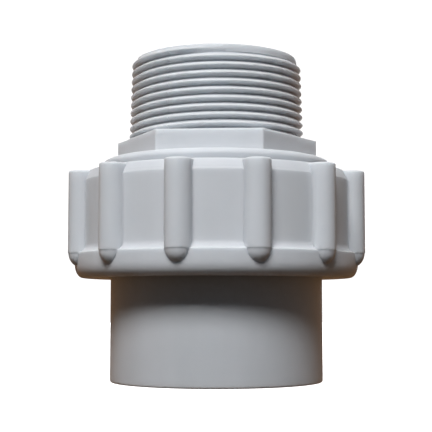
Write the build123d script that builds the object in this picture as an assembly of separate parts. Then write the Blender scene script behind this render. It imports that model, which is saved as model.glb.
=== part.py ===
from build123d import *
import math
import os

os.makedirs("parts", exist_ok=True)

# Pipe union in moulded plastic: a socket end and a male threaded end, drawn together by a ribbed
# nut, with a face-seal ring between them. Millimetres. The origin is the centre of the socket
# end's mouth, +Z runs along the pipe towards the male thread.

# --- heights along the axis -------------------------------------------------------------------
nut_bottom_z = 28.2
nut_height = 28.8
shoulder_over_nut = 3.3
hex_height = 5.9
pipe_thread_height = 22.7

# --- socket end ---------------------------------------------------------------------------------
socket_bore_d = 48.4
socket_wall = 4.9
socket_depth = 28.6
socket_stop_w = 2.7
socket_mouth_chamfer = 0.8
socket_rim_round = 0.5
collar_reach = 2.3
collar_thickness = 5.0

# --- union nut ----------------------------------------------------------------------------------
nut_wall = 3.9
nut_band_reach = 1.7
nut_band_height = 6.5
nut_bottom_round = 2.2
nut_flare_r = 2.3
nut_chamfer_height = 2.6
nut_chamfer_width = 1.7
nut_lip_thickness = 5.0
nut_mouth_chamfer = 0.7
rib_count = 12
rib_r = 3.4
rib_reach = 3.95
rib_top_drop = 0.2
rib_clocking_deg = 15.6

# --- coarse thread between the nut and the threaded end ----------------------------------------
union_pitch = 4.0
union_depth = 1.5
union_crest_w = 1.0
union_lead_in = 0.7

# --- threaded end -------------------------------------------------------------------------------
shoulder_step = 0.4
shoulder_round = 1.5
hex_flat_inside_crest = 0.13
hex_clocking_deg = -4.5
outlet_wall = 2.87

# --- tapered pipe thread, 1 1/2 nominal, 11 1/2 turns to the inch, 1 in 16 on diameter ----------
pipe_pitch = 25.4 / 11.5
pipe_major_d_at_rim = 47.04
pipe_taper = 1 / 16
pipe_thread_depth = 1.55
pipe_crest_w = 0.26
pipe_root_w = 0.2
pipe_crest_z_offset = -0.03
pipe_lead_height = 2.0
pipe_lead_inside_crest = 1.07
pipe_lead_edge = 0.2

# --- face seal ----------------------------------------------------------------------------------
ring_from_collar_edge = 5.1
ring_section_d = 3.5
ring_squeeze = 0.85
ring_groove_side = 0.35

# --- clearances ---------------------------------------------------------------------------------
collar_to_lip = 0.1
nut_over_socket = 0.3
nut_over_collar = 0.35
collar_inside_thread = 0.1
union_thread_play = 0.3
end_to_collar = 0.1
ring_to_collar = 0.05

# --- derived places -----------------------------------------------------------------------------
socket_outer_d = socket_bore_d + 2 * socket_wall
waterway_d = socket_bore_d - 2 * socket_stop_w
collar_d = socket_outer_d + 2 * collar_reach
union_minor_d = collar_d + 2 * collar_inside_thread
union_major_d = union_minor_d + 2 * union_depth
nut_panel_d = union_major_d + 2 * (union_thread_play + nut_wall)
nut_band_d = nut_panel_d + 2 * nut_band_reach
rib_reach_d = nut_panel_d + 2 * rib_reach
shoulder_d = union_minor_d + 2 * shoulder_step
ring_mean_d = collar_d - 2 * ring_from_collar_edge
ring_squeezed_h = ring_section_d - ring_squeeze
ring_groove_w = ring_section_d + 2 * ring_groove_side
outlet_bore_d = pipe_major_d_at_rim - 2 * (pipe_thread_depth + outlet_wall)
nut_top_z = nut_bottom_z + nut_height
lip_top_z = nut_bottom_z + nut_lip_thickness
collar_bottom_z = lip_top_z + collar_to_lip
collar_top_z = collar_bottom_z + collar_thickness
end_bottom_z = collar_top_z + end_to_collar
hex_bottom_z = nut_top_z + shoulder_over_nut
hex_top_z = hex_bottom_z + hex_height
rim_z = hex_top_z + pipe_thread_height
union_thread_top_z = nut_top_z - nut_chamfer_height


def turned(points):
    """Solid of revolution about Z from (radius, height) points."""
    outline = Polyline(*[(r, 0, z) for r, z in points], close=True)
    return revolve(Plane.XZ * make_face(Plane.XZ.to_local_coords(outline)), Axis.Z)


def disc(radius, z_low, z_high):
    return Pos(0, 0, z_low) * Cylinder(
        radius, z_high - z_low, align=(Align.CENTER, Align.CENTER, Align.MIN)
    )


def thread_ridge(root_r, crest_r, root_w, crest_w, pitch, z_start, turns, cone_deg=0.0):
    """One right-hand ridge of trapezoid section, starting on the +X side at z_start."""
    slope = math.tan(math.radians(cone_deg))
    corners = [
        (root_r, -root_w / 2),
        (crest_r, -crest_w / 2),
        (crest_r, crest_w / 2),
        (root_r, root_w / 2),
    ]
    rails = []
    for radius, rise in corners:
        rails.append(
            Edge.make_helix(
                pitch,
                pitch * turns,
                radius + slope * rise,
                center=(0, 0, z_start + rise),
                angle=cone_deg,
            )
        )
    flanks = [Face.make_surface_from_curves(rails[i], rails[(i + 1) % 4]) for i in range(4)]
    starts = [rail @ 0 for rail in rails]
    ends = [rail @ 1 for rail in rails]
    caps = [Face(Wire.make_polygon(starts, close=True)), Face(Wire.make_polygon(ends, close=True))]
    return Solid(Shell(flanks + caps))


def flat_section_ring(mean_r, section_r, height, z_low):
    """Ring of round section pressed flat on its top and bottom."""
    middle = z_low + height / 2
    ring = Pos(0, 0, middle) * Torus(mean_r, section_r)
    return ring & disc(mean_r + 2 * section_r, z_low, z_low + height)


# --- socket end ---------------------------------------------------------------------------------
socket_r = socket_outer_d / 2
bore_r = socket_bore_d / 2
way_r = waterway_d / 2
socket_end = turned(
    [
        (bore_r + socket_mouth_chamfer, 0),
        (socket_r - socket_rim_round, 0),
        (socket_r, socket_rim_round),
        (socket_r, collar_bottom_z),
        (collar_d / 2, collar_bottom_z),
        (collar_d / 2, collar_top_z),
        (way_r, collar_top_z),
        (way_r, socket_depth),
        (bore_r, socket_depth),
        (bore_r, socket_mouth_chamfer),
    ]
)

# --- union nut ----------------------------------------------------------------------------------
lip_hole_r = socket_r + nut_over_socket
nut_minor_r = union_minor_d / 2 + union_thread_play
nut_major_r = union_major_d / 2 + union_thread_play
collar_space_r = collar_d / 2 + nut_over_collar
panel_r = nut_panel_d / 2
band_r = nut_band_d / 2
ridge_z = nut_bottom_z + nut_band_height
flare_low = math.acos(1 - (band_r - panel_r) / nut_flare_r)
flare_top_z = ridge_z + nut_flare_r * math.sin(flare_low)


def arc_points(centre_r, centre_z, radius, start, stop, steps=8):
    turns = [start + (stop - start) * i / steps for i in range(steps + 1)]
    return [(centre_r + radius * math.cos(a), centre_z + radius * math.sin(a)) for a in turns]


nut_outline = [(lip_hole_r, nut_bottom_z)]
nut_outline += arc_points(
    band_r - nut_bottom_round, nut_bottom_z + nut_bottom_round, nut_bottom_round, -math.pi / 2, 0
)
nut_outline += arc_points(
    panel_r + nut_flare_r, flare_top_z, nut_flare_r, math.pi + flare_low, math.pi
)
nut_outline += [
    (panel_r, nut_top_z - nut_chamfer_height),
    (panel_r - nut_chamfer_width, nut_top_z),
    (nut_major_r + nut_mouth_chamfer, nut_top_z),
    (nut_minor_r, nut_top_z - nut_mouth_chamfer - (nut_major_r - nut_minor_r)),
    (nut_minor_r, end_bottom_z),
    (collar_space_r, end_bottom_z),
    (collar_space_r, lip_top_z),
    (lip_hole_r, lip_top_z),
]
union_nut = turned(nut_outline)

rib_centre_r = rib_reach_d / 2 - rib_r
rib_top_z = nut_top_z - rib_top_drop
inside_of_nut = disc(panel_r - nut_chamfer_width - 0.4, nut_bottom_z, nut_top_z)
for i in range(rib_count):
    spot = Rot(0, 0, rib_clocking_deg + 360 / rib_count * i) * Pos(rib_centre_r, 0, ridge_z)
    rib = spot * Cylinder(
        rib_r, rib_top_z - ridge_z, align=(Align.CENTER, Align.CENTER, Align.MIN)
    )
    union_nut += (rib + spot * Sphere(rib_r)) - inside_of_nut

union_flank_w = 2 * union_depth * math.tan(math.radians(30))
ridge_root_w = union_crest_w + union_flank_w
helix_start_z = end_bottom_z - union_pitch
helix_turns = (nut_top_z - helix_start_z) / union_pitch + 1
nut_groove = thread_ridge(
    nut_minor_r - 0.4,
    nut_major_r,
    ridge_root_w + 2 * union_thread_play + 0.8 * math.tan(math.radians(30)),
    union_crest_w + 2 * union_thread_play,
    union_pitch,
    helix_start_z,
    helix_turns,
)
nut_thread_zone = disc(nut_major_r + 1, end_bottom_z, nut_top_z)
union_nut -= nut_groove & nut_thread_zone

# --- threaded end -------------------------------------------------------------------------------
out_r = outlet_bore_d / 2
shoulder_r = shoulder_d / 2
union_core_r = union_minor_d / 2
rim_major_r = pipe_major_d_at_rim / 2
base_major_r = rim_major_r + pipe_thread_height * pipe_taper / 2
rim_root_r = rim_major_r - pipe_thread_depth
base_root_r = base_major_r - pipe_thread_depth
lead_r = rim_major_r - pipe_lead_inside_crest
step_down_z = union_thread_top_z + 1.0
body_outline = [(way_r, end_bottom_z), (union_core_r, end_bottom_z), (union_core_r, step_down_z)]
body_outline += [(shoulder_r, step_down_z)]
body_outline += arc_points(
    shoulder_r - shoulder_round, hex_bottom_z - shoulder_round, shoulder_round, 0, math.pi / 2
)
body_outline += [
    (base_root_r, hex_bottom_z),
    (base_root_r, hex_top_z),
    (rim_root_r, rim_z - pipe_lead_height),
    (lead_r, rim_z - pipe_lead_height + 0.3),
    (lead_r, rim_z - pipe_lead_edge),
    (lead_r - pipe_lead_edge, rim_z),
    (out_r, rim_z),
    (out_r, hex_bottom_z),
    (way_r, hex_bottom_z - 2 * abs(way_r - out_r)),
]
threaded_end = turned(body_outline)

hexagon = RegularPolygon(
    base_major_r - hex_flat_inside_crest, 6, major_radius=False, rotation=hex_clocking_deg
)
hex_block = Pos(0, 0, hex_bottom_z) * extrude(hexagon, hex_height)
hex_block -= disc(base_root_r - 0.5, hex_bottom_z - 1, hex_top_z + 1)
threaded_end += hex_block

pipe_cone_deg = -math.degrees(math.atan(pipe_taper / 2))
pipe_flank_tan = (pipe_pitch - pipe_crest_w - pipe_root_w) / 2 / pipe_thread_depth
pipe_start_z = hex_top_z + pipe_crest_z_offset - pipe_pitch
pipe_start_r = base_major_r + (hex_top_z - pipe_start_z) * pipe_taper / 2
buried = 0.35
pipe_ridge = thread_ridge(
    pipe_start_r - pipe_thread_depth - buried,
    pipe_start_r,
    pipe_crest_w + 2 * (pipe_thread_depth + buried) * pipe_flank_tan,
    pipe_crest_w,
    pipe_pitch,
    pipe_start_z,
    (rim_z - pipe_start_z) / pipe_pitch + 0.4,
    pipe_cone_deg,
)
lead_cut_r = lead_r - 0.15
lead_cut_z = rim_z - pipe_lead_height / 2
pipe_envelope = turned(
    [
        (rim_root_r - 1.5, hex_top_z),
        (base_major_r + 1, hex_top_z),
        (base_major_r + 1, lead_cut_z - (base_major_r + 1 - lead_cut_r) / 1.5),
        (lead_cut_r, lead_cut_z),
        (lead_cut_r, rim_z - 2 * pipe_lead_edge),
        (rim_root_r - 1.5, rim_z - 2 * pipe_lead_edge),
    ]
)
threaded_end += pipe_ridge & pipe_envelope

union_ridge = thread_ridge(
    union_core_r - 0.4,
    union_major_d / 2,
    ridge_root_w + 0.8 * math.tan(math.radians(30)),
    union_crest_w,
    union_pitch,
    helix_start_z,
    (step_down_z - helix_start_z) / union_pitch + 0.5,
)
union_envelope = turned(
    [
        (union_core_r - 1.2, end_bottom_z),
        (union_core_r - 0.2, end_bottom_z),
        (union_major_d / 2 + 0.5, end_bottom_z + union_depth + union_lead_in),
        (union_major_d / 2 + 0.5, step_down_z),
        (union_core_r - 1.2, step_down_z),
    ]
)
threaded_end += union_ridge & union_envelope

groove_depth = ring_squeezed_h - (end_to_collar - ring_to_collar)
groove_in = ring_mean_d / 2 - ring_groove_w / 2
groove_out = ring_mean_d / 2 + ring_groove_w / 2
threaded_end -= disc(groove_out, end_bottom_z, end_bottom_z + groove_depth) - disc(
    groove_in, end_bottom_z, end_bottom_z + groove_depth
)

# --- sealing ring -------------------------------------------------------------------------------
o_ring = flat_section_ring(
    ring_mean_d / 2, ring_section_d / 2, ring_squeezed_h, collar_top_z + ring_to_collar
)

for name, shape in {
    "socket_end": socket_end,
    "union_nut": union_nut,
    "threaded_end": threaded_end,
    "o_ring": o_ring,
}.items():
    solids = shape.solids()
    shape = solids[0] if len(solids) == 1 else Compound(solids)
    shape.label = name
    export_step(shape, f"parts/{name}.step")
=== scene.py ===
"""Looks of the pipe union: one closed mesh for each piece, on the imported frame, with its stage."""

import math
from collections import Counter

import bpy
import numpy as np
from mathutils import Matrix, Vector


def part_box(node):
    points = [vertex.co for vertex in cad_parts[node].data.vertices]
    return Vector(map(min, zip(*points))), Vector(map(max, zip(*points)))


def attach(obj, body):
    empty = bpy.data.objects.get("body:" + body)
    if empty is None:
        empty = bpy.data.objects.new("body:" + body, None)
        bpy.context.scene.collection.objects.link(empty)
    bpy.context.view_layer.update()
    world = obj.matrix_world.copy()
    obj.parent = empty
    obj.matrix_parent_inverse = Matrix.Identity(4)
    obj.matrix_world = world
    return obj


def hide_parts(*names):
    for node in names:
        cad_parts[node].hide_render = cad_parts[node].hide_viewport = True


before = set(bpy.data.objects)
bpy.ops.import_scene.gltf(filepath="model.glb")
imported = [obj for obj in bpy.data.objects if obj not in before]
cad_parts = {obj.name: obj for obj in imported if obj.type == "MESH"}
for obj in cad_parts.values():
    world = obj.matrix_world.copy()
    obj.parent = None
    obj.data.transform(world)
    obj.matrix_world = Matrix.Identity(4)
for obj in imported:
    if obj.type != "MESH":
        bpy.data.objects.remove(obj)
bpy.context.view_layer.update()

MM = 0.001
TAU = 2 * math.pi


def box_mm(node):
    """Low and high corners of a CAD node, in millimetres."""
    low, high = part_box(node)
    return [v * 1000 for v in low], [v * 1000 for v in high]


# ---------------------------------------------------------------------------------------------
# Sizes in millimetres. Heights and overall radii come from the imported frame.
# ---------------------------------------------------------------------------------------------
socket_low, socket_high = box_mm("socket_end")
nut_low, nut_high = box_mm("union_nut")
end_low, end_high = box_mm("threaded_end")
ring_low, ring_high = box_mm("o_ring")

collar_top_z = socket_high[2]
collar_r = socket_high[0]
nut_bottom_z = nut_low[2]
nut_top_z = nut_high[2]
end_bottom_z = end_low[2]
rim_z = end_high[2]
union_major_r = end_high[0]

# Socket end
socket_r = 29.1
bore_r = 24.2
bore_chamfer = 0.8
socket_depth = 28.6
way_r = 21.5
collar_bottom_z = collar_top_z - 5.0

# Union nut: bottom band, panels, the flare between them and the chamfer above
band_r = 38.9
bottom_round = 2.2
bottom_rise = 3.7
ridge_z = nut_bottom_z + 6.5
panel_r = 37.2
flare_r = 2.3
flare_low = math.acos(1 - (band_r - panel_r) / flare_r)
flare_top_z = ridge_z + flare_r * math.sin(flare_low)
chamfer_z = nut_top_z - 2.6
chamfer_lean = 1.45 / 2.6
chamfer_soft = 0.3
top_edge_r = panel_r - 1.5

# Union nut: ribs, each with a dome at its foot
rib_count = 12
rib_r = 3.4
rib_centre_r = 37.75
rib_top_z = nut_top_z - 0.2
rib_top_round = 0.5
rib_flat_in_r = panel_r - (rib_top_z - chamfer_z) * chamfer_lean
rib_fillet = 0.5
rib_turn = math.radians(15.6)
dome_r = 3.24
dome_drop = 3.75

# Union nut: inside
lip_hole_r = socket_r + 0.3
lip_top_z = nut_bottom_z + 5.0
lip_edge = 0.35
nut_minor_r = 31.8
nut_major_r = 33.3
nut_mouth_r = nut_major_r + 0.7
collar_space_r = collar_r + 0.35

# Coarse thread: half widths at the crest and the root, for the nut's groove and the end's ridge
union_pitch = 4.0
union_core_r = 31.5
union_helix_z = end_bottom_z - union_pitch
union_soft = 0.14
nut_groove_half = 0.8
nut_land_half = 1.666
union_crest_half = 0.5
union_root_half = 1.366

# Threaded end: lower face with the ring's groove, shoulder, hexagon and bore
groove_in_r = 24.2
groove_out_r = 28.4
groove_depth = 2.6
face_out_r = 30.6
ring_middle_r = 26.3
ring_section_r = 1.75
step_z = chamfer_z + 1.0
shoulder_foot_r = 31.3
shoulder_r = 31.95
shoulder_top_z = nut_top_z + 3.3
hex_top_z = shoulder_top_z + 5.9
hex_apothem = 24.1
hex_turn = math.radians(-4.5)
hex_corner_round = 0.55
hex_fillet = 0.35
hex_edge = 0.14
out_r = 19.1
out_bottom_z = shoulder_top_z - 4.8

# Tapered pipe thread: 11 1/2 turns to the inch, with a plain lead at the rim and a mould line
pipe_pitch = 25.4 / 11.5
pipe_depth = 1.55
pipe_taper = 1 / 32
rim_major_r = 23.52
base_major_r = rim_major_r + (rim_z - hex_top_z) * pipe_taper
pipe_helix_z = hex_top_z - 0.03
pipe_crest_half = 0.08
pipe_root_half = pipe_pitch / 2 - 0.1
pipe_soft = 0.05
pipe_lead_r = rim_major_r - 1.07
pipe_lead_z = rim_z - 2.0
pipe_run_out = math.radians(280) + 9 * TAU
pipe_fade = 0.8
mould_turn = math.radians(-122.6)
mould_steps = (-0.9, -0.55, -0.2, 0.2, 0.55, 0.9)
mould_height = 0.24

# Stage, in millimetres
backdrop_r = 4000
floor_z = -0.05
floor_half = 2700


# ---------------------------------------------------------------------------------------------
# Mesh building: rows of points joined into closed skins
# ---------------------------------------------------------------------------------------------
class Skin:
    """Collects grids of points, welds them and makes one closed, smooth-shaded mesh."""

    def __init__(self):
        self.points = []
        self.quads = []
        self.count = 0

    def grid(self, rows, seam=0, inward=False):
        """rows[row, column] are points. Columns close into a loop, shifted by seam rows there."""
        rows = np.asarray(rows, float)
        high, wide = rows.shape[:2]
        index = np.arange(high * wide).reshape(high, wide) + self.count
        self.points.append(rows.reshape(-1, 3))
        self.count += high * wide
        inner = np.stack([index[:-1, :-1], index[:-1, 1:], index[1:, 1:], index[1:, :-1]], -1)
        last = np.stack(
            [
                index[: high - 1 - seam, -1],
                index[seam : high - 1, 0],
                index[seam + 1 :, 0],
                index[1 : high - seam, -1],
            ],
            -1,
        )
        quads = np.concatenate([inner.reshape(-1, 4), last.reshape(-1, 4)])
        self.quads.append(quads[:, ::-1] if inward else quads)

    def build(self, name, sharp_deg=34):
        points = np.concatenate(self.points)
        quads = np.concatenate(self.quads)
        _, first, back = np.unique(
            np.round(points, 4), axis=0, return_index=True, return_inverse=True
        )
        quads = back.reshape(-1)[quads]
        # Quads that weld down to a line go, and so do pairs of faces folded flat on each other.
        faces = []
        for quad in quads.tolist():
            face = [v for i, v in enumerate(quad) if v != quad[i - 1]]
            if len(set(face)) >= 3 and len(set(face)) == len(face):
                faces.append(face)
        corners = [tuple(sorted(face)) for face in faces]
        seen = Counter(corners)
        faces = [face for face, key in zip(faces, corners) if seen[key] == 1]
        mesh = bpy.data.meshes.new(name)
        mesh.from_pydata((points[first] * MM).tolist(), [], faces)
        mesh.validate()
        mesh.update()
        if signed_volume(mesh) < 0:
            mesh.flip_normals()
        mesh.polygons.foreach_set("use_smooth", [True] * len(mesh.polygons))
        mesh.set_sharp_from_angle(angle=math.radians(sharp_deg))
        piece = bpy.data.objects.new(name, mesh)
        bpy.context.scene.collection.objects.link(piece)
        return piece


def signed_volume(mesh):
    """Volume of a closed mesh, negative when its faces point inwards."""
    mesh.calc_loop_triangles()
    at = np.zeros(len(mesh.vertices) * 3)
    mesh.vertices.foreach_get("co", at)
    at = at.reshape(-1, 3)
    tri = np.zeros(len(mesh.loop_triangles) * 3, int)
    mesh.loop_triangles.foreach_get("vertices", tri)
    a, b, c = (at[tri.reshape(-1, 3)[:, k]] for k in range(3))
    return float(np.einsum("ij,ij->i", a, np.cross(b, c)).sum()) / 6


def rounded(corners, steps=5, closed=True):
    """Outline through (r, z, rounding) corners, each rounded with an arc."""
    outline = []
    total = len(corners)
    for i, (r, z, rounding) in enumerate(corners):
        here = np.array([r, z], float)
        if rounding <= 0 or (not closed and i in (0, total - 1)):
            outline.append((r, z))
            continue
        before = np.array(corners[i - 1][:2], float) - here
        after = np.array(corners[(i + 1) % total][:2], float) - here
        before /= np.linalg.norm(before)
        after /= np.linalg.norm(after)
        half = math.acos(np.clip(before @ after, -1, 1)) / 2
        reach = rounding / math.tan(half)
        inwards = (before + after) / np.linalg.norm(before + after)
        middle = here + inwards * rounding / math.sin(half)
        start = here + before * reach - middle
        stop = here + after * reach - middle
        spread = math.acos(np.clip(start @ stop / rounding**2, -1, 1))
        for k in range(steps + 1):
            share = k / steps
            if spread < 1e-6:
                way = start
            else:
                way = (
                    math.sin((1 - share) * spread) * start + math.sin(share * spread) * stop
                ) / math.sin(spread)
            outline.append(tuple(middle + way))
    return outline


def turned_rows(outline, turns):
    """Rows of a surface of revolution for an outline of (r, z) points."""
    outline = np.asarray(outline, float)
    rows = np.zeros((len(outline), len(turns), 3))
    rows[..., 0] = outline[:, :1] * np.cos(turns)
    rows[..., 1] = outline[:, :1] * np.sin(turns)
    rows[..., 2] = outline[:, 1:2]
    return rows


def polar_rows(radii, turns, heights):
    """Points from radii, turns and heights, which are broadcast against each other."""
    radii, turns, heights = np.broadcast_arrays(radii, turns, heights)
    return np.stack([radii * np.cos(turns), radii * np.sin(turns), heights], -1)


def thread_rows(turns, z_low, z_high, helix_z, pitch, knots, limit):
    """Helical rows between two heights. knots are (rise from the crest, radius) over one pitch,
    and limit(radius, height, turn) trims the radii."""
    rise = np.array([k[0] for k in knots]) / pitch
    reach = np.array([k[1] for k in knots])
    first = math.floor((z_low - helix_z) / pitch - turns[0] / TAU - 1.5)
    last = math.ceil((z_high - helix_z) / pitch - turns[0] / TAU + 0.5)
    wind = np.concatenate([n + rise for n in range(first, last + 1)])
    height = helix_z + pitch * (wind[:, None] + turns[None, :] / TAU)
    height = np.clip(height, z_low, z_high)
    phase = (height - helix_z) / pitch - turns[None, :] / TAU
    phase = phase - np.round(phase)
    radius = np.interp(phase, rise, reach, period=1.0)
    return polar_rows(limit(radius, height, turns[None, :]), turns[None, :], height)


def trapezoid_knots(pitch, crest_half, crest_r, root_half, root_r, soft):
    """One pitch of a thread form, with each corner cut off by a short facet."""
    slope = (root_r - crest_r) / (root_half - crest_half)
    soft_root = min(soft, pitch / 2 - root_half - 0.02)
    half = [
        (crest_half - soft, crest_r),
        (crest_half + soft * 0.45, crest_r + slope * soft * 0.45 * 0.85),
        (root_half - soft_root * 0.7, root_r - slope * soft_root * 0.7),
        (root_half + soft_root, root_r),
    ]
    return [(-x, r) for x, r in reversed(half)] + half


# ---------------------------------------------------------------------------------------------
# Socket end
# ---------------------------------------------------------------------------------------------
def make_socket_end():
    """Socket with its bore, stop, waterway and collar, as one surface of revolution."""
    outline = rounded(
        [
            (bore_r + bore_chamfer, 0.0, 0.15),
            (socket_r, 0.0, 0.55),
            (socket_r, collar_bottom_z, 0.3),
            (collar_r, collar_bottom_z, 0.3),
            (collar_r, collar_top_z, 0.4),
            (way_r, collar_top_z, 0.5),
            (way_r, socket_depth, 0.3),
            (bore_r, socket_depth, 0.5),
            (bore_r, bore_chamfer, 0.3),
        ]
    )
    turns = np.linspace(0, TAU, 288, endpoint=False)
    skin = Skin()
    skin.grid(turned_rows(outline + outline[:1], turns))
    return skin.build("socket_end_body")


# ---------------------------------------------------------------------------------------------
# Sealing ring
# ---------------------------------------------------------------------------------------------
def make_ring():
    """Ring with a round section, flattened where the two ends squeeze it."""
    middle_z = (ring_low[2] + ring_high[2]) / 2
    outline = []
    for a in np.linspace(0, TAU, 40, endpoint=False):
        r = ring_middle_r + ring_section_r * math.cos(a)
        z = middle_z + ring_section_r * math.sin(a)
        outline.append((r, min(max(z, ring_low[2]), ring_high[2])))
    skin = Skin()
    skin.grid(turned_rows(outline + outline[:1], np.linspace(0, TAU, 200, endpoint=False)))
    return skin.build("sealing_ring")


# ---------------------------------------------------------------------------------------------
# Union nut
# ---------------------------------------------------------------------------------------------
def cone_z(r):
    """Height of the nut's chamfer at a radius."""
    return chamfer_z + (panel_r - r) / chamfer_lean


def half_sector():
    """Columns of the nut from a rib's middle to a panel's middle.

    Each is (x, y, kind, t, level). t is the turn about the rib's centre on a rib, and the turn of
    the fillet's end on a panel. level is how far the top's rounding has come, in degrees."""
    columns = []
    edge_cos = (band_r**2 - rib_centre_r**2 - rib_r**2) / (2 * rib_centre_r * rib_r)
    spots = sorted(list(np.linspace(0, 90, 13)) + [math.degrees(math.acos(edge_cos))])
    for t in spots:
        t = math.radians(t)
        columns.append((rib_centre_r + rib_r * math.cos(t), rib_r * math.sin(t), "rib", t, 90))
    side = columns[-1][:2]
    for level in (60, 30, 0):
        columns.append((*side, "rib", math.pi / 2, level))
    columns.append((*side, "side", math.pi / 2, 0))
    reach_a = panel_r + rib_fillet
    reach_b = rib_r + rib_fillet
    lean = math.acos(
        (reach_a**2 + rib_centre_r**2 - reach_b**2) / (2 * reach_a * rib_centre_r)
    )
    middle = (reach_a * math.cos(lean), reach_a * math.sin(lean))
    start = math.atan2(rib_r - middle[1], rib_centre_r - middle[0])
    stop = lean - math.pi
    for k in range(1, 6):
        a = start + (stop - start) * k / 5
        x = middle[0] + rib_fillet * math.cos(a)
        y = middle[1] + rib_fillet * math.sin(a)
        columns.append((x, y, "panel", lean, 0))
    for k in range(1, 7):
        a = lean + (math.pi / rib_count - lean) * k / 6
        columns.append((panel_r * math.cos(a), panel_r * math.sin(a), "panel", lean, 0))
    return columns


def nut_column(x, y, kind, t, level):
    """Outside of the nut along one column, bottom to top, as (radius, turn, height)."""
    reach = math.hypot(x, y)
    turn = math.atan2(y, x)
    rows = []
    dome = kind == "rib" and reach > band_r + 1e-6
    start_turn = turn
    start_z = ridge_z
    if dome:
        b = rib_centre_r * math.cos(t)
        share = (-b + math.sqrt(b * b + band_r**2 - rib_centre_r**2)) / dome_r
        dome = share < 1
        if dome:
            start_turn = math.atan2(
                dome_r * share * math.sin(t), rib_centre_r + dome_r * share * math.cos(t)
            )
            start_z = ridge_z - dome_drop * math.sqrt(1 - share * share)

    # Rounded bottom and band, up to the ridge or to the dome
    low = nut_bottom_z + bottom_rise
    stop = math.asin(min(0.0, (start_z - low) / bottom_rise))
    for k in range(9):
        a = -math.pi / 2 + (stop + math.pi / 2) * k / 8
        r = band_r - bottom_round * (1 - math.cos(a))
        rows.append((r, start_turn, low + bottom_rise * math.sin(a)))
    low = min(low, start_z)
    for part in (0.3, 0.6, 0.85, 1.0):
        rows.append((rows[-1][0], start_turn, low + (start_z - low) * part))

    # Dome, ledge beside it or flare, up to the foot of the wall
    steps = 10
    if dome:
        lowest = math.acos(share)
        for k in range(1, steps + 1):
            a = lowest * (1 - k / steps)
            px = rib_centre_r + dome_r * math.cos(a) * math.cos(t)
            py = dome_r * math.cos(a) * math.sin(t)
            pz = ridge_z - dome_drop * math.sin(a)
            rows.append((math.hypot(px, py), math.atan2(py, px), pz))
        rows.append((reach, turn, ridge_z))
        wall_z = ridge_z
    elif reach >= band_r:
        rows += [(band_r, turn, ridge_z)] * steps
        rows.append((reach, turn, ridge_z))
        wall_z = ridge_z
    else:
        stop = math.acos(min(1.0, max(-1.0, (panel_r + flare_r - reach) / flare_r)))
        for k in range(1, steps + 1):
            a = flare_low + (stop - flare_low) * k / steps
            r = panel_r + flare_r - flare_r * math.cos(a)
            rows.append((r, turn, flare_top_z - flare_r * math.sin(a)))
        rows.append(rows[-1])
        wall_z = rows[-1][2]

    # Wall, then the rib's rounded top or the soft edge of the chamfer
    split = cone_z(reach) - chamfer_soft
    for part in (0.06, 0.3, 0.7, 0.94, 1.0):
        rows.append((reach, turn, wall_z + (split - wall_z) * part))
    if kind == "rib":
        high = rib_top_z - rib_top_round
        rows.append((reach, turn, split + (high - split) * 0.6))
        rows.append((reach, turn, high))
        for part in (0.25, 0.5, 0.75, 1.0):
            a = math.radians(level * part)
            r = rib_r - rib_top_round * (1 - math.cos(a))
            px = rib_centre_r + r * math.cos(t)
            py = r * math.sin(t)
            rows.append(
                (math.hypot(px, py), math.atan2(py, px), high + rib_top_round * math.sin(a))
            )
    else:
        rows += [(reach, turn, split)] * 2
        for part in (0.25, 0.5, 0.75, 1.0):
            slip = chamfer_soft * part * part * 0.7071
            rise = chamfer_soft * (1 - (1 - part) ** 2) + slip
            rows.append((reach - slip, turn, split + rise))

    # Inwards over the top: flat on a rib until it meets the chamfer, on the chamfer elsewhere
    top_r, top_turn, top_z = rows[-1]
    lateral = top_r * math.sin(top_turn)
    steps = 8
    for k in range(1, steps + 2):
        if k <= steps:
            r = top_r + (rib_flat_in_r - top_r) * k / steps
        else:
            r = rib_flat_in_r - 0.1
        if kind == "panel":
            edge = math.asin(rib_r / r)
            wall_edge = math.atan2(rib_r, rib_centre_r)
            here = turn
            if turn < t:
                here = edge + (turn - wall_edge) * (t - edge) / (t - wall_edge)
            rows.append((r, here, cone_z(r)))
        else:
            z = max(top_z if kind == "rib" else 0, cone_z(r))
            rows.append((r, math.asin(lateral / r), z))
    return rows


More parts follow.
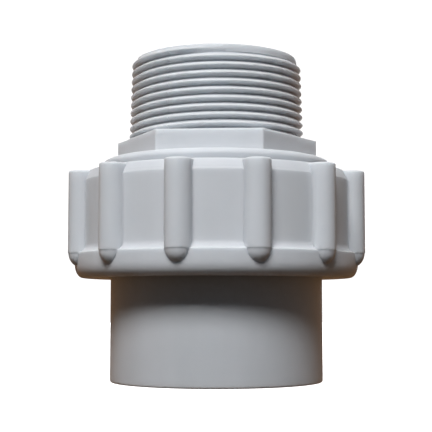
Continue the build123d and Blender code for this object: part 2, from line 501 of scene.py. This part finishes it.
def make_nut():
    """Nut with twelve ribs outside and the collar's lip and coarse thread inside."""
    half = half_sector()
    full = [(x, -y, kind, t, level) for x, y, kind, t, level in reversed(half[1:])] + half[:-1]
    base = []
    for x, y, kind, t, level in full:
        mirror = -1 if y < 0 else 1
        base.append([(r, mirror * a, z) for r, a, z in nut_column(x, abs(y), kind, t, level)])
    base = np.array(base)
    columns = []
    for rib in range(rib_count):
        turned = base.copy()
        turned[..., 1] += rib_turn + rib * TAU / rib_count
        columns.append(turned)
    outside = np.concatenate(columns).transpose(1, 0, 2)
    radius, turn, height = (outside[..., k] for k in range(3))
    top_turn = turn[-1]
    skin = Skin()
    # The underside eases from the inside's columns to the outside's, ring by ring.
    foot = []
    for share, r in ((1.0, lip_hole_r + lip_edge), (0.7, 31.4), (0.4, 33.4), (0.15, 35.2)):
        foot.append(polar_rows(r, turn[0] + (top_turn - turn[0]) * share, nut_bottom_z))
    skin.grid(np.concatenate([np.array(foot), polar_rows(radius, turn, height)]))

    top_edge = rounded(
        [
            (radius[-1, 0], height[-1, 0], 0),
            (top_edge_r, nut_top_z, 0.06),
            (nut_mouth_r, nut_top_z, 0),
        ],
        closed=False,
    )
    skin.grid(turned_rows(top_edge, top_turn))
    knots = trapezoid_knots(
        union_pitch, nut_groove_half, nut_major_r, nut_land_half, nut_minor_r, union_soft
    )

    def mouth(r, z, a):
        return np.maximum(r, nut_mouth_r - (nut_top_z - z))

    thread = thread_rows(
        top_turn, end_bottom_z, nut_top_z, union_helix_z, union_pitch, knots, mouth
    )
    skin.grid(thread, seam=len(knots), inward=True)
    inner = rounded(
        [
            (collar_space_r, end_bottom_z, 0),
            (collar_space_r, lip_top_z, 0.4),
            (lip_hole_r, lip_top_z, 0.3),
            (lip_hole_r, nut_bottom_z, lip_edge),
            (lip_hole_r + lip_edge, nut_bottom_z, 0),
        ],
        closed=False,
        steps=4,
    )
    skin.grid(np.concatenate([thread[:1], turned_rows(inner, top_turn)]))
    return skin.build("union_nut_body")


# ---------------------------------------------------------------------------------------------
# Threaded end
# ---------------------------------------------------------------------------------------------
def hex_radius(turns):
    """Distance from the axis to the hexagon's rounded outline."""
    away = np.abs((turns - hex_turn) % (math.pi / 3) - math.pi / 6)
    corner_reach = (hex_apothem - hex_corner_round) / math.cos(math.pi / 6)
    tangent = math.atan((hex_apothem - hex_corner_round) * math.tan(math.pi / 6) / hex_apothem)
    flat = hex_apothem / np.cos(away)
    past = math.pi / 6 - away
    inside = np.maximum(hex_corner_round**2 - (corner_reach * np.sin(past)) ** 2, 0)
    curved = corner_reach * np.cos(past) + np.sqrt(inside)
    return np.where(away > tangent, curved, flat)


def make_threaded_end():
    """Coarse thread, shoulder, hexagon, tapered pipe thread and bore, on one set of columns."""
    sector = [-30, -29.6, -29.2, -28.8, -28.4, -28.0, -27.4, -26.5]
    sector += list(np.linspace(-25.5, 25.5, 41))
    sector += [26.5, 27.4, 28.0, 28.4, 28.8, 29.2, 29.6]
    turns = np.concatenate(
        [np.radians(np.array(sector) + 60 * k) + hex_turn + math.pi / 6 for k in range(6)]
    )
    extra = [mould_turn + side + math.radians(d) for side in (0, math.pi) for d in mould_steps]
    turns = np.sort(np.concatenate([turns, (np.array(extra) - turns[0]) % TAU + turns[0]]))
    flats = hex_radius(turns)
    skin = Skin()

    knots = trapezoid_knots(
        union_pitch, union_crest_half, union_major_r, union_root_half, union_core_r, union_soft
    )

    def union_limit(r, z, a):
        lead = union_core_r - 0.2 + (z - end_bottom_z)
        fade = shoulder_foot_r + (step_z - z) * 0.6
        return np.minimum(np.minimum(r, lead), fade)

    union_rows = thread_rows(
        turns, end_bottom_z, step_z, union_helix_z, union_pitch, knots, union_limit
    )
    skin.grid(union_rows, seam=len(knots))
    face = rounded(
        [
            (way_r, end_bottom_z + 2, 0),
            (way_r, end_bottom_z, 0.3),
            (groove_in_r, end_bottom_z, 0.12),
            (groove_in_r, end_bottom_z + groove_depth, 0.2),
            (groove_out_r, end_bottom_z + groove_depth, 0.2),
            (groove_out_r, end_bottom_z, 0.12),
            (face_out_r, end_bottom_z, 0),
        ],
        closed=False,
        steps=3,
    )
    skin.grid(np.concatenate([turned_rows(face, turns), union_rows[:1]]))

    shoulder = rounded(
        [
            (shoulder_foot_r, step_z, 0),
            (shoulder_foot_r, nut_top_z + 0.3, 0.4),
            (shoulder_r, shoulder_top_z, 1.4),
            (29.6, shoulder_top_z, 0),
        ],
        closed=False,
        steps=8,
    )
    rows = [union_rows[-1]]
    rows += list(turned_rows(shoulder, turns))
    for a in np.radians(np.linspace(0, 90, 5)):
        r = flats + hex_fillet * (1 - math.sin(a))
        rows.append(polar_rows(r, turns, shoulder_top_z + hex_fillet * (1 - math.cos(a))))
    face_low_z = shoulder_top_z + hex_fillet
    for part in (0.3, 0.7):
        z = face_low_z + (hex_top_z - hex_edge - face_low_z) * part
        rows.append(polar_rows(flats, turns, z))
    for a in np.radians(np.linspace(0, 90, 5)):
        r = flats - hex_edge * (1 - math.cos(a))
        rows.append(polar_rows(r, turns, hex_top_z - hex_edge * (1 - math.sin(a))))

    pipe_knots = trapezoid_knots(
        pipe_pitch, pipe_crest_half, 0.0, pipe_root_half, -pipe_depth, pipe_soft
    )

    def pipe_limit(r, z, a):
        # Tapered thread with the mould line's flash
        off = np.degrees((a - mould_turn + math.pi / 2) % math.pi - math.pi / 2)
        flash = mould_height * np.clip(1.6 - np.abs(off) / 0.35, 0, 1)
        full = r + base_major_r - (z - hex_top_z) * pipe_taper + flash
        # The plain lead fills the last groove, and the last crest runs out into it.
        full = np.maximum(full, pipe_lead_r - np.maximum(pipe_lead_z - z, 0) * 2.2)
        wound = a + TAU * np.round((z - pipe_helix_z) / pipe_pitch - a / TAU)
        left = np.clip((pipe_run_out - wound) / pipe_fade, 0, 1)
        proud = (full - pipe_lead_r) * left**2 * (3 - 2 * left)
        full = np.where(full > pipe_lead_r, pipe_lead_r + proud, full)
        # Nothing stands past the hexagon's edge below or the rim's bevel above.
        foot = np.broadcast_to(flats - hex_edge - 0.06, full.shape) + (z - hex_top_z) * 0.9
        tip = pipe_lead_r - 0.2 + (rim_z - z) * 1.2
        return np.minimum(np.minimum(full, foot), tip)

    pipe_rows = thread_rows(
        turns, hex_top_z, rim_z, pipe_helix_z, pipe_pitch, pipe_knots, pipe_limit
    )
    rows.append(pipe_rows[0])
    skin.grid(np.array(rows))
    skin.grid(pipe_rows, seam=len(pipe_knots))
    bore = rounded(
        [
            (out_r + 2, rim_z, 0),
            (out_r, rim_z, 0.45),
            (out_r, shoulder_top_z, 1.5),
            (way_r, out_bottom_z, 1.5),
            (way_r, end_bottom_z + 2, 0),
        ],
        closed=False,
    )
    skin.grid(np.concatenate([pipe_rows[-1:], turned_rows(bore, turns)]))
    return skin.build("threaded_end_body")


# ---------------------------------------------------------------------------------------------
# Materials
# ---------------------------------------------------------------------------------------------
class Shading:
    """A named material with its Principled shader and short ways to add to it."""

    def __init__(self, name):
        self.material = bpy.data.materials.new(name)
        self.material.use_nodes = True
        self.nodes = self.material.node_tree.nodes
        self.links = self.material.node_tree.links
        self.shader = self.nodes["Principled BSDF"]

    def fill(self, node, values):
        for socket, value in values.items():
            node.inputs[socket].default_value = value

    def add(self, kind, values, **wires):
        """New node with constants on its sockets. wires are named as the sockets they feed."""
        node = self.nodes.new(kind)
        self.fill(node, values)
        for socket, source in wires.items():
            self.links.new(source, node.inputs[socket])
        return node

    def ramp(self, source, stops):
        """Colour ramp over two (place, colour) stops."""
        node = self.add("ShaderNodeValToRGB", {}, Fac=source)
        for element, (place, colour) in zip(node.color_ramp.elements, stops):
            element.position = place
            element.color = (*colour, 1)
        return node.outputs["Color"]

    def drive(self, socket, source):
        self.links.new(source, self.shader.inputs[socket])


def plastic(name, colour, warm):
    """Satin moulded PVC: faint mottling, flow marks along the pipe axis and fine grain."""
    look = Shading(name)
    look.fill(
        look.shader,
        {
            "IOR": 1.53,
            "Specular IOR Level": 0.2,
            "Subsurface Weight": 1.0,
            "Subsurface Radius": (0.95, 1.0, 1.0),
            "Subsurface Scale": 0.0022,
        },
    )
    place = look.add("ShaderNodeTexCoord", {}).outputs["Object"]
    along = look.add("ShaderNodeMapping", {"Scale": (1, 1, 0.12)}, Vector=place)
    mottle = look.add(
        "ShaderNodeTexNoise", {"Scale": 38, "Detail": 5, "Roughness": 0.55}, Vector=place
    ).outputs["Fac"]
    flow = look.add(
        "ShaderNodeTexNoise", {"Scale": 160, "Detail": 3}, Vector=along.outputs["Vector"]
    ).outputs["Fac"]
    grain = look.add("ShaderNodeTexNoise", {"Scale": 900, "Detail": 2}, Vector=place).outputs["Fac"]

    blend = look.add("ShaderNodeMix", {"Factor": 0.35}, A=mottle, B=flow).outputs["Result"]
    look.drive("Base Color", look.ramp(blend, ((0.36, warm), (0.62, colour))))
    gloss = look.add(
        "ShaderNodeMapRange",
        {"From Min": 0.3, "From Max": 0.7, "To Min": 0.5, "To Max": 0.6},
        Value=blend,
    )
    look.drive("Roughness", gloss.outputs["Result"])

    fine = look.add("ShaderNodeBump", {"Strength": 0.06, "Distance": 0.0002}, Height=grain)
    broad = look.add(
        "ShaderNodeBump",
        {"Strength": 0.10, "Distance": 0.0006},
        Height=mottle,
        Normal=fine.outputs["Normal"],
    )
    look.drive("Normal", broad.outputs["Normal"])
    return look.material


def rubber(name):
    """Black rubber with a fine, uneven surface."""
    look = Shading(name)
    look.fill(look.shader, {"Roughness": 0.5})
    place = look.add("ShaderNodeTexCoord", {}).outputs["Object"]
    noise = look.add("ShaderNodeTexNoise", {"Scale": 420}, Vector=place).outputs["Fac"]
    stops = ((0.0, (0.012, 0.012, 0.013)), (1.0, (0.028, 0.028, 0.030)))
    look.drive("Base Color", look.ramp(noise, stops))
    bump = look.add("ShaderNodeBump", {"Strength": 0.12, "Distance": 0.0002}, Height=noise)
    look.drive("Normal", bump.outputs["Normal"])
    return look.material


body_plastic = plastic("body_plastic", (0.66, 0.685, 0.72), (0.62, 0.645, 0.675))
nut_plastic = plastic("nut_plastic", (0.65, 0.675, 0.71), (0.615, 0.64, 0.67))
seal_rubber = rubber("seal_rubber")

for make, node, body, slot, material in (
    (make_socket_end, "socket_end", "socket_end", "body_plastic", body_plastic),
    (make_nut, "union_nut", "union_nut", "nut_plastic", nut_plastic),
    (make_threaded_end, "threaded_end", "threaded_end", "body_plastic", body_plastic),
    (make_ring, "o_ring", "threaded_end", "seal_rubber", seal_rubber),
):
    piece = make()
    piece.data.materials.append(material)
    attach(piece, body)
    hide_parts(node)
    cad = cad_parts[node]
    cad.data.materials.clear()
    cad.data.materials.append(material)


# ---------------------------------------------------------------------------------------------
# Stage, light and camera
# ---------------------------------------------------------------------------------------------
def stage_material(name):
    """Paper that shines white enough to hide the light and shade on it."""
    look = Shading(name)
    look.fill(
        look.shader,
        {
            "Base Color": (0.9, 0.9, 0.9, 1),
            "Roughness": 0.9,
            "Emission Color": (1, 1, 1, 1),
            "Emission Strength": 1.1,
        },
    )
    return look


def clear_from_behind(look):
    """The sheet's back lets everything through, so the floor doesn't hide views from below."""
    clear = look.add("ShaderNodeBsdfTransparent", {})
    side = look.add("ShaderNodeNewGeometry", {})
    mix = look.add("ShaderNodeMixShader", {})
    for source, socket in (
        (side.outputs["Backfacing"], mix.inputs[0]),
        (look.shader.outputs[0], mix.inputs[1]),
        (clear.outputs[0], mix.inputs[2]),
        (mix.outputs[0], look.nodes["Material Output"].inputs["Surface"]),
    ):
        look.links.new(source, socket)


def make_stage():
    """Pale floor and a white backdrop all around, both left out of the lighting."""
    rises = np.radians(np.linspace(-89.9, 89.9, 25))
    outline = [(backdrop_r * math.cos(a), backdrop_r * math.sin(a)) for a in rises]
    skin = Skin()
    skin.grid(turned_rows(outline, np.linspace(0, TAU, 48, endpoint=False)))
    backdrop = skin.build("stage_backdrop")
    backdrop.data.materials.append(stage_material("stage_paper").material)

    mesh = bpy.data.meshes.new("stage_floor")
    corners = [(x * floor_half, y * floor_half) for x, y in ((-1, -1), (1, -1), (1, 1), (-1, 1))]
    points = [(x * MM, y * MM, floor_z * MM) for x, y in corners]
    mesh.from_pydata(points, [], [(0, 1, 2, 3)])
    paper = stage_material("stage_floor")
    clear_from_behind(paper)
    mesh.materials.append(paper.material)
    floor = bpy.data.objects.new("stage_floor", mesh)
    bpy.context.scene.collection.objects.link(floor)

    for sheet in (backdrop, floor):
        sheet.visible_diffuse = False
        sheet.visible_glossy = False
        sheet.visible_transmission = False
        sheet.visible_shadow = False


def area_light(name, place, target, size, power, colour):
    """Rectangular light at a place in metres, turned towards its target."""
    light = bpy.data.lights.new(name, "AREA")
    light.shape = "RECTANGLE"
    light.size, light.size_y = size
    light.energy = power
    light.color = colour
    lamp = bpy.data.objects.new(name, light)
    lamp.location = place
    aim = Vector(target) - lamp.location
    lamp.rotation_euler = aim.to_track_quat("-Z", "Y").to_euler()
    bpy.context.scene.collection.objects.link(lamp)


def make_world():
    """A dim room: cool in front of the pipe, warm brown behind it."""
    world = bpy.data.worlds.new("soft_room")
    bpy.context.scene.world = world
    world.use_nodes = True
    nodes, links = world.node_tree.nodes, world.node_tree.links
    where = nodes.new("ShaderNodeTexCoord")
    split = nodes.new("ShaderNodeSeparateXYZ")
    links.new(where.outputs["Generated"], split.inputs["Vector"])

    def share(axis, low, high):
        """0 to 1 as the direction's part along an axis goes from low to high."""
        node = nodes.new("ShaderNodeMapRange")
        node.inputs["From Min"].default_value = low
        node.inputs["From Max"].default_value = high
        links.new(split.outputs[axis], node.inputs["Value"])
        return node.outputs["Result"]

    # Colours from the ground up, with the middle two near the horizon
    front = ((0.045, 0.034, 0.026), (0.095, 0.075, 0.060), (0.11, 0.12, 0.135), (0.14, 0.165, 0.20))
    behind = ((0.22, 0.11, 0.045), (0.74, 0.36, 0.13), (0.44, 0.23, 0.10), (0.09, 0.085, 0.08))
    height = share("Z", -1, 1)
    blend = nodes.new("ShaderNodeMix")
    blend.data_type = "RGBA"
    for socket, colours in (("A", front), ("B", behind)):
        ramp = nodes.new("ShaderNodeValToRGB")
        stops = ramp.color_ramp.elements
        stops[0].color = (*colours[0], 1)
        stops[1].color = (*colours[3], 1)
        for place, colour in ((0.44, colours[1]), (0.60, colours[2])):
            stops.new(place).color = (*colour, 1)
        links.new(height, ramp.inputs["Fac"])
        links.new(ramp.outputs["Color"], blend.inputs[socket])
    links.new(share("Y", -0.3, 0.7), blend.inputs["Factor"])
    back = nodes["Background"]
    links.new(blend.outputs["Result"], back.inputs["Color"])
    back.inputs["Strength"].default_value = 0.55


def make_camera():
    """Camera in front of the pipe, just above the floor and tipped up 0.082 radians."""
    data = bpy.data.cameras.new("camera")
    data.sensor_width = 36
    data.lens = 36 * 1085.4 / 432
    data.shift_x = -0.0008
    data.clip_start = 0.01
    camera = bpy.data.objects.new("camera", data)
    camera.location = (0, -0.30068, 0.02079)
    camera.rotation_euler = (math.pi / 2 + 0.082, 0, 0)
    bpy.context.scene.collection.objects.link(camera)
    bpy.context.scene.camera = camera


make_stage()
area_light("key", (-0.14, -0.662, 0.785), (0, 0, 0.05), (0.45, 0.30), 10.9, (1.0, 1.0, 1.0))
area_light("rear", (0.12, 0.95, 0.30), (0, 0, 0.045), (0.7, 0.5), 5.0, (0.84, 0.94, 1.0))
make_world()
make_camera()
bpy.context.scene.view_settings.view_transform = "Standard"
